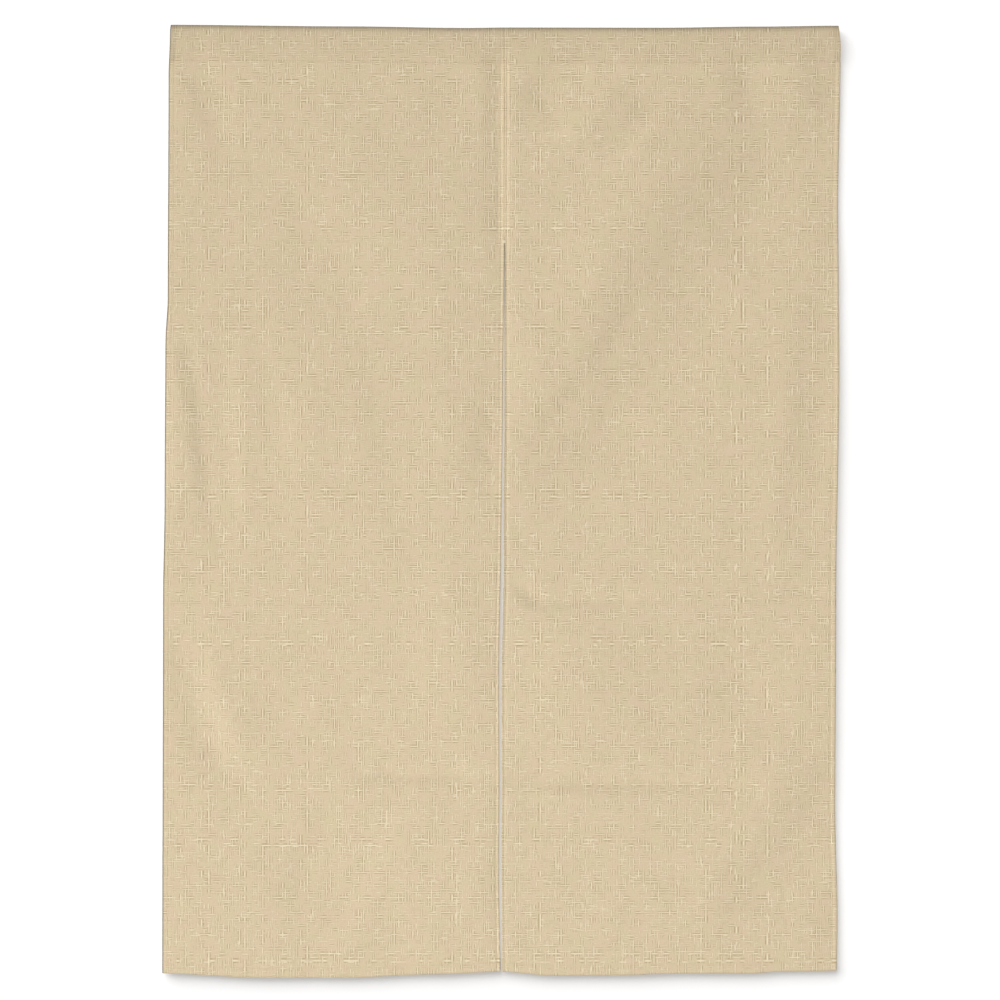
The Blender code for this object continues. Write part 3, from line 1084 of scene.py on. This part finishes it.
        for d in turn.flap_stations():
            z = foot + middle + d
            add_row(z, depth, -1.0, 0.0, foot - d, 2.0)
        for k in range(turn.fold_steps + 1):
            angle = math.pi * k / turn.fold_steps
            z = foot + middle - radius * math.sin(angle)
            add_row(z, radius * (1 + math.cos(angle)), -math.cos(angle), math.sin(angle), z, 1.0)
        for d in self.foot_rows:
            z = foot + middle + d
            add_row(z, np.zeros_like(z), 1.0, 0.0, z, 1.0)
        start = foot + middle + self.foot_rows[-1]
        level = np.full(len(columns), -self.form.foot_depth)
        top = TOP_EDGE.read(self.across(share, offset, level)) - self.form.foot_depth
        count = round(float(np.mean(top - start)) / self.row_step)
        for k in range(1, count + 1):
            z = start + (top - start) * k / count
            add_row(z, np.zeros_like(z), 1.0, 0.0, z, 1.0)
        return ClothGrid(f"cloth_{self.panel.value}", rows, self.cloth, offset=0.0)

    def foot_fold(self, x: np.ndarray) -> np.ndarray:
        """Gives how far behind the cloth the foot's flap lies. It is bulkier over the folded sides."""
        left, right = self.form.sides(self.panel, FOOT_EDGE.read(x))
        near = np.minimum(x - left, right - x)
        bulk = self.corner_room * np.clip(self.corner_reach - near / self.side_hem, 0.0, 1.0)
        return HemTurn(self.cloth, self.foot_hem).depth + bulk

    def stitch_lines(self, face: Face) -> list[StitchLine]:
        """Lists the lines of stitching that hold the hems and the seam's allowance.

        Args:
            face: the side of the cloth.

        Returns:
            The outer side's line, the slit and seam's line, and the foot's.
        """
        lines = []
        # from the cloth's front face to a flap's back face, the flap being two cloths thick
        behind = 0.0 if face is Face.FRONT else HemTurn(self.cloth, 0.0).depth + 1.5 * self.cloth
        foot = self.first_stitch[0 if face is Face.FRONT else 1]
        z = np.arange(foot, -self.form.foot_depth - 1.0, self.stitch_step)
        left, right = self.form.sides(self.panel, z)
        for outer in (True, False):
            inset = self.side_stitch if outer else SLIT_STITCH.read(z)
            x = left + inset if outer is (self.panel is Panel.LEFT) else right - inset
            y = self.form.front(self.panel, x, z) + behind
            lines.append(StitchLine(np.stack([x, y, z], axis=1), face))
        first, last = self.form.sides(self.panel, np.array([foot]))
        x = np.arange(
            float(first[0]) + self.stitch_inset, float(last[0]) - self.stitch_inset, self.stitch_step)
        z = FOOT_EDGE.read(x) + self.foot_stitch
        y = self.form.front(self.panel, x, z)
        if face is Face.BACK:
            y = y + self.foot_fold(x) + 1.5 * self.cloth
        lines.append(StitchLine(np.stack([x, y, z], axis=1), face))
        return lines

    def across(self, share: np.ndarray, offset: np.ndarray, z: np.ndarray) -> np.ndarray:
        """Gives the X of columns at heights, in millimetres."""
        left, right = self.form.sides(self.panel, z)
        return left + (right - left) * share + offset

    def flat_size(self) -> tuple[float, float]:
        """Gives the width and length that the panel was cut to, hems and turnings included, in metres."""
        width = self.cut_width + self.side_hem + self.slit_hem + 2 * self.turn_in
        length = self.drop - self.form.foot_depth + self.foot_hem + self.turn_in
        return width * MM, length * MM

    def make(self) -> bpy.types.Object:
        """Builds the panel, dresses it and hangs it on the frame.

        Returns:
            The panel's object.
        """
        self.sheet = self.grid().build(self.finish)
        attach(self.sheet, BODY)
        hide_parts(self.name)
        return self.sheet


@dataclass
class Heading:
    """The rod pocket: the top of both cloths, turned to the back and stitched across, in millimetres."""

    finish: SlubCloth
    panels: tuple[HangingPanel, HangingPanel]
    form: HangingForm = FORM
    cloth: float = 0.7
    end_hem: float = 8.0
    radius: float = 9.0
    back_foot: float = 1.6
    arc_steps: int = 18
    stitch_under: float = 42.4
    stitch_step: float = 4.0
    width: float = 870.0
    turn_in: float = 10.0
    seam_depth: float = 0.7
    seam_half: float = 0.8
    slack: float = 0.15  # the share of the folds that is left over the rod
    layers: float = 1.4  # how many cloths thick the wall is, and 2 at its hemmed ends
    crest_shade: tuple[tuple[float, float], ...] = ((0.85, 4.2), (0.22, 26.0))  # painted shade along the top, where the cloth turns back over the pocket: darkness, and its reach
    front_rows: tuple[float, ...] = (
        43.8, 43.1, 42.4, 41.7, 40.8, 39.5, 37.5, 35, 32, 29, 26, 23, 20, 17, 14)
    back_rows: tuple[float, ...] = (0.12, 0.24, 0.36, 0.48, 0.6, 0.72, 0.84, 0.92, 0.97, 1.0)
    back_lip: tuple[tuple[float, float], ...] = ((0.1, -44.2), (0.05, -45.4), (-0.15, -46.2))
    front_lip: float = 44.6
    stitch_insets: tuple[float, float] = (1.5, 0.5)  # at a panel's left and right
    sheet: bpy.types.Object = field(init=False, default=None)

    def section(self) -> list[tuple[float, float, float]]:
        """Works out the pocket's outer face in section, from the front foot over to the back foot.

        Returns:
            For each point its Y, its height under the top edge, and its way along the cloth.
        """
        drop = self.form.pocket_depth - self.radius
        front_lean = math.asin((self.radius + self.form.plane) / drop)
        back_lean = math.asin((self.radius - self.back_foot) / drop)
        points = [(self.form.plane, -self.form.foot_depth), (self.form.plane, -self.front_lip)]
        for under in self.front_rows:
            share = (self.form.pocket_depth - under) / (drop + self.radius * math.sin(-front_lean))
            share = min(max(share, 0.0), 1.0)
            y = self.form.plane - share * (self.radius * math.cos(front_lean) + self.form.plane)
            points.append((y, -under))
        turn = math.pi + front_lean + back_lean
        for k in range(self.arc_steps + 1):
            angle = -front_lean + turn * k / self.arc_steps
            points.append((-self.radius * math.cos(angle), self.radius * math.sin(angle) - self.radius))
        y_from, z_from = points[-1]
        for share in self.back_rows:
            z = z_from + (-self.form.pocket_depth - z_from) * share
            points.append((y_from + (self.back_foot - y_from) * share, z))
        points += [(self.back_foot + out, z) for out, z in self.back_lip]
        laid = []
        way = 0.0
        for k, (y, z) in enumerate(points):
            if k:
                way += math.hypot(y - points[k - 1][0], z - points[k - 1][1])
            laid.append((y, z, way))
        return laid

    def stations(self) -> tuple[np.ndarray, np.ndarray, np.ndarray]:
        """Lists the columns across the heading: the panel of each, its share across and its offset.

        The heading's edges aren't turned back, so of a panel's columns it has those from the outermost
        one of the fold to the front.
        """
        kinds, shares, offsets = [], [], []
        for number, panel in enumerate(self.panels):
            outermost = HemTurn(panel.cloth, panel.side_hem).depth / 2 + 0.001  # and a little, for rounding
            for share, offset, behind, _layers in panel.columns():
                if behind <= outermost:
                    kinds.append(number)
                    shares.append(share)
                    offsets.append(offset)
        return np.array(kinds), np.array(shares), np.array(offsets)

    def grid(self) -> ClothGrid:
        """Works out where every point of the pocket's outer face is."""
        kinds, shares, offsets = self.stations()
        rows = []
        for y, z_under, way in self.section():
            z = np.full(len(kinds), z_under)
            x = np.zeros(len(kinds))
            lift = np.zeros(len(kinds))
            for number, panel in enumerate(self.panels):
                mine = kinds == number
                x[mine] = panel.across(shares[mine], offsets[mine], z[mine])
                top = TOP_EDGE.read(x[mine])
                lift[mine] = self.form.lift(panel.panel, x[mine], z[mine] + top)
            seam = x - SLIT_LINE.read(z)
            # the pocket's two faces are closed at the stitching, and apart over the rod
            closed = np.clip((-z - self.radius) / (self.form.pocket_depth - self.radius), 0.0, 1.0)
            groove = self.seam_depth * np.exp(-((seam / self.seam_half) ** 2))
            folded = y - lift * (self.slack + (1 - self.slack) * closed)
            top = TOP_EDGE.read(x)
            inwards = groove * (1.0 if y < self.form.plane / 2 else -1.0)  # the seam sinks in on both faces
            place = np.stack([x, folded + inwards, z + top], axis=1)
            flat = np.stack([x, top - self.form.foot_depth + way], axis=1)
            left, right = LEFT_SIDE.read(z), RIGHT_SIDE.read(z)
            near = np.minimum(x - left, right - x)
            layers = np.where(near < self.end_hem, 2.0, self.layers)
            # painted shade along the top edge, strongest at the crest and fainter down the pocket
            crest = sum(dark * math.exp(-((z_under / reach) ** 2)) for dark, reach in self.crest_shade)
            ends = rim_shade_and_highlight(x - left, self.panels[0].outer_rim_shade) + rim_shade_and_highlight(right - x)
            rows.append((place, flat, layers, np.maximum(ends, crest)))
        return ClothGrid("cloth_heading", rows, self.cloth, offset=-1.0)

    def stitch_line(self, face: Face) -> StitchLine:
        """Gives the line of stitching across the curtain that closes the pocket, on one side of it."""
        under = -self.stitch_under
        section = [(y, z) for y, z, _way in self.section()]
        crest = max(range(len(section)), key=lambda k: section[k][1])
        branch = section[:crest] if face is Face.FRONT else section[crest:][::-1]
        y_flat = float(np.interp(under, [z for _y, z in branch], [y for y, _z in branch]))
        laid = []
        for panel in self.panels:
            first, last = self.form.sides(panel.panel, np.array([under]))
            x = np.arange(float(first[0]) + self.stitch_insets[0],
                          float(last[0]) - self.stitch_insets[1], self.stitch_step)
            z = TOP_EDGE.read(x) + under
            laid.append(np.stack([x, y_flat - self.form.lift(panel.panel, x, z), z], axis=1))
        return StitchLine(np.concatenate(laid), face)

    def flat_size(self) -> tuple[float, float]:
        """Gives the width and length of cloth in the heading, turnings included, in metres."""
        return self.width * MM, (self.section()[-1][2] + self.turn_in) * MM

    def make(self) -> bpy.types.Object:
        """Builds the heading, dresses it and hangs it on the frame."""
        self.sheet = self.grid().build(self.finish)
        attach(self.sheet, BODY)
        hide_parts("heading")
        return self.sheet


@dataclass(frozen=True)
class StudioLight:
    """A soft light: where it stands as seen from the curtain, in degrees and metres, and its strength.

    azimuth turns from the camera's side to the right. An even light is like a far window: it lights the
    whole curtain alike, its size is an angle in degrees and its power is in watts for a square metre.
    on_paper says whether it lights the paper alone or the curtain alone.
    """

    name: str
    azimuth: float
    elevation: float
    distance: float
    size: float
    power: float
    even: bool
    on_paper: bool


@dataclass
class Studio:
    """The pale room: a white sheet close behind the curtain, a white floor, soft lights and the camera.

    In metres. The photograph's pixel is 1.266 mm at the curtain.
    """

    middle_x: float = -0.00747
    middle_z: float = -0.59806
    camera_distance: float = 3.5
    frame_width: float = 1.266
    sheet_behind: float = 0.0115
    sheet_size: float = 1.9
    floor_drop: float = 1.75
    floor_radius: float = 7.0
    floor_sides: int = 64
    cove_rise: float = 1.2  # the height over which the floor turns up, ...
    cove_flare: float = 1.12  # ... how much wider it is there, ...
    cove_height: float = 9.0  # ... and how far it goes on upwards
    sensor: float = 36.0
    room_light: float = 0.41
    lamps: tuple[StudioLight, ...] = (
        StudioLight("key_light", -45.0, -6.0, 4.0, 12.0, 2.23, True, False),
        StudioLight("fill_light", -16.0, -24.0, 2.2, 1.4, 10.5, False, False),
        StudioLight("back_light", 150.0, 12.0, 3.6, 2.0, 90.0, False, False),
        StudioLight("paper_light", -33.0, 40.0, 4.0, 56.0, 4.4, True, True),
    )
    curtain: bpy.types.Collection = field(init=False, default=None)
    paper_sheets: bpy.types.Collection = field(init=False, default=None)

    def camera(self) -> None:
        """Sets the camera square to the curtain, as in the photograph."""
        bpy.ops.object.camera_add(
            location=(self.middle_x, -self.camera_distance, self.middle_z), rotation=(math.pi / 2, 0, 0))
        camera = bpy.context.active_object
        camera.data.sensor_width = self.sensor
        camera.data.lens = self.sensor * self.camera_distance / self.frame_width
        bpy.context.scene.camera = camera

    def soft_light(self, light: StudioLight) -> None:
        """Adds one light that faces the curtain's middle."""
        turn, rise = math.radians(light.azimuth), math.radians(light.elevation)
        away = np.array([
            math.sin(turn) * math.cos(rise), -math.cos(turn) * math.cos(rise), math.sin(rise)])
        place = np.array([self.middle_x, 0.0, self.middle_z]) + away * light.distance
        bpy.ops.object.light_add(type="SUN" if light.even else "AREA", location=tuple(place))
        lamp = bpy.context.active_object
        lamp.name = light.name
        if light.even:
            lamp.data.angle = math.radians(light.size)
        else:
            lamp.data.size = light.size
        lamp.data.energy = light.power
        lamp.visible_camera = False
        lamp.rotation_euler = (math.pi / 2 - rise, 0.0, turn)
        lit = self.paper_sheets if light.on_paper else self.curtain
        lamp.light_linking.receiver_collection = lit

    def lights(self) -> None:
        """Adds the lights and the pale light of the room."""
        for light in self.lamps:
            self.soft_light(light)
        world = bpy.data.worlds.new("soft_daylight")
        world.use_nodes = True
        world.node_tree.nodes["Background"].inputs["Color"].default_value = (1.0, 1.0, 1.0, 1.0)
        world.node_tree.nodes["Background"].inputs["Strength"].default_value = self.room_light
        bpy.context.scene.world = world

    def paper(self, name: str, glow: float, shade: float, one_sided: bool) -> bpy.types.Material:
        """Makes white studio paper, matt and evenly lit.

        Args:
            name: the material's name.
            glow: how bright it is without the lights.
            shade: how much of the light it gives back.
            one_sided: whether its back is clear, so that the curtain's back is seen past it.

        Returns:
            The material.
        """
        material = new_material(name, {
            "Base Color": (shade, shade, shade, 1.0), "Roughness": 1.0, "Specular IOR Level": 0.0,
            "Emission Color": (1.0, 0.985, 0.98, 1.0), "Emission Strength": glow})
        if one_sided:
            tree = material.node_tree
            side = add_node(tree, "NewGeometry", {})
            clear = add_node(tree, "BsdfTransparent", {})
            mixed = add_node(tree, "MixShader", {
                0: side.outputs["Backfacing"], 1: tree.nodes["Principled BSDF"], 2: clear})
            tree.links.new(mixed.outputs[0], tree.nodes["Material Output"].inputs["Surface"])
        return material

    def backdrop(self) -> None:
        """Hangs the white sheet close behind the curtain, where the curtain's soft shadow falls on it."""
        bpy.ops.object.select_all(action="DESELECT")
        bpy.ops.mesh.primitive_plane_add(
            size=self.sheet_size, location=(self.middle_x, self.sheet_behind, self.middle_z),
            rotation=(math.pi / 2, 0, 0))
        sheet = bpy.context.active_object
        sheet.name = "backdrop_paper"
        sheet.data.materials.append(self.paper(
            "white_paper_one_sided", glow=0.27, shade=0.6, one_sided=True))
        self.only_for_the_eye(sheet)
        self.paper_sheets.objects.link(sheet)

    def floor(self) -> None:
        """Lays the floor and turns it up all round into a tall white cove."""
        bpy.ops.object.select_all(action="DESELECT")
        bpy.ops.mesh.primitive_circle_add(
            vertices=self.floor_sides, radius=self.floor_radius, fill_type="NGON",
            location=(0, 0, -self.floor_drop))
        cove = bpy.context.active_object
        cove.name = "floor_cove"
        bpy.ops.object.mode_set(mode="EDIT")
        bpy.ops.mesh.select_all(action="SELECT")
        bpy.ops.mesh.extrude_region_move(TRANSFORM_OT_translate={"value": (0, 0, self.cove_rise)})
        bpy.ops.transform.resize(value=(self.cove_flare, self.cove_flare, 1.0))
        bpy.ops.mesh.extrude_region_move(TRANSFORM_OT_translate={"value": (0, 0, self.cove_height)})
        bpy.ops.mesh.delete(type="ONLY_FACE")
        bpy.ops.object.mode_set(mode="OBJECT")
        cove.data.materials.append(self.paper("white_cove", glow=1.0, shade=0.3, one_sided=False))
        self.only_for_the_eye(cove)
        self.paper_sheets.objects.link(cove)

    def only_for_the_eye(self, obj: bpy.types.Object) -> None:
        """Keeps a sheet of the room from blocking or throwing light, which the lights alone give."""
        obj.visible_shadow = False
        obj.visible_diffuse = False
        obj.visible_glossy = False
        obj.visible_transmission = False

    def make(self) -> None:
        """Sets up the whole room."""
        bpy.context.scene.view_settings.view_transform = "Standard"
        self.curtain = bpy.data.collections.new("lit_curtain")
        self.paper_sheets = bpy.data.collections.new("lit_paper")
        self.camera()
        self.lights()
        self.backdrop()
        self.floor()

    def light_up(self, piece: bpy.types.Object) -> None:
        """Puts a piece of the curtain in the curtain's lights."""
        self.curtain.objects.link(piece)


@dataclass(frozen=True)
class BarTack:
    """The threads that bind the head of the slit, at the front of the cloth, in millimetres."""

    form: HangingForm = FORM
    head: float = -272.0  # where the slit starts
    first: float = -269.4
    threads: int = 6
    apart: float = 0.62
    width: float = 4.8
    proud: float = 0.25  # how far in front of the cloth they lie

    def lines(self) -> list[StitchLine]:
        """Lists the threads, each as a line that one stitch fills."""
        middle = float(SLIT_LINE.read(np.array([self.head]))[0])
        lines = []
        for k in range(self.threads):
            z = self.first - self.apart * k
            y = float(self.form.front(Panel.LEFT, np.array([middle]), np.array([z]))[0]) - self.proud
            points = np.array([(middle + side * self.width / 2, y, z) for side in (-1, 1)])
            lines.append(StitchLine(points, Face.FRONT, length=self.width))
        return lines


def main() -> None:
    """Builds the curtain piece by piece inside the studio."""
    logging.basicConfig(level=logging.INFO, format="%(name)s: %(message)s")
    studio = Studio()
    studio.make()
    log.info("studio: camera, lights, backdrop and floor")
    panel_finish = SlubCloth("linen_look_cloth_woven")
    thread = SewingThread()
    left = HangingPanel(Panel.LEFT, panel_finish)
    right = HangingPanel(Panel.RIGHT, panel_finish)
    heading = Heading(SlubCloth("linen_look_cloth_woven_doubled"), (left, right))
    for piece in (left, right):
        sheet = piece.make()
        lines = [line for face in Face for line in piece.stitch_lines(face)]
        stitches = Stitching(f"stitches_{piece.panel.value}", thread, lines).make()
        sewn_on = [stitches]
        if piece is left:
            # a paler thread, as a painted highlight, so that the dense tack reads as catching the light
            highlighted_tack_thread = SewingThread("bar_tack_thread_painted_highlight", "F2E6C9", "DCCCA7")
            tack = BarTack()
            sewn_on.append(Stitching("bar_tack", highlighted_tack_thread, tack.lines(), width=tack.apart).make())
        piece.flat_size()
        for made in (sheet, *sewn_on):
            studio.light_up(made)
            log.info("%s: %d faces", made.name, len(made.data.polygons))
    sheet = heading.make()
    lines = [heading.stitch_line(face) for face in Face]
    stitches = Stitching("stitches_heading", thread, lines).make()
    heading.flat_size()
    for made in (sheet, stitches):
        studio.light_up(made)
        log.info("%s: %d faces", made.name, len(made.data.polygons))


if __name__ == "__main__":
    main()
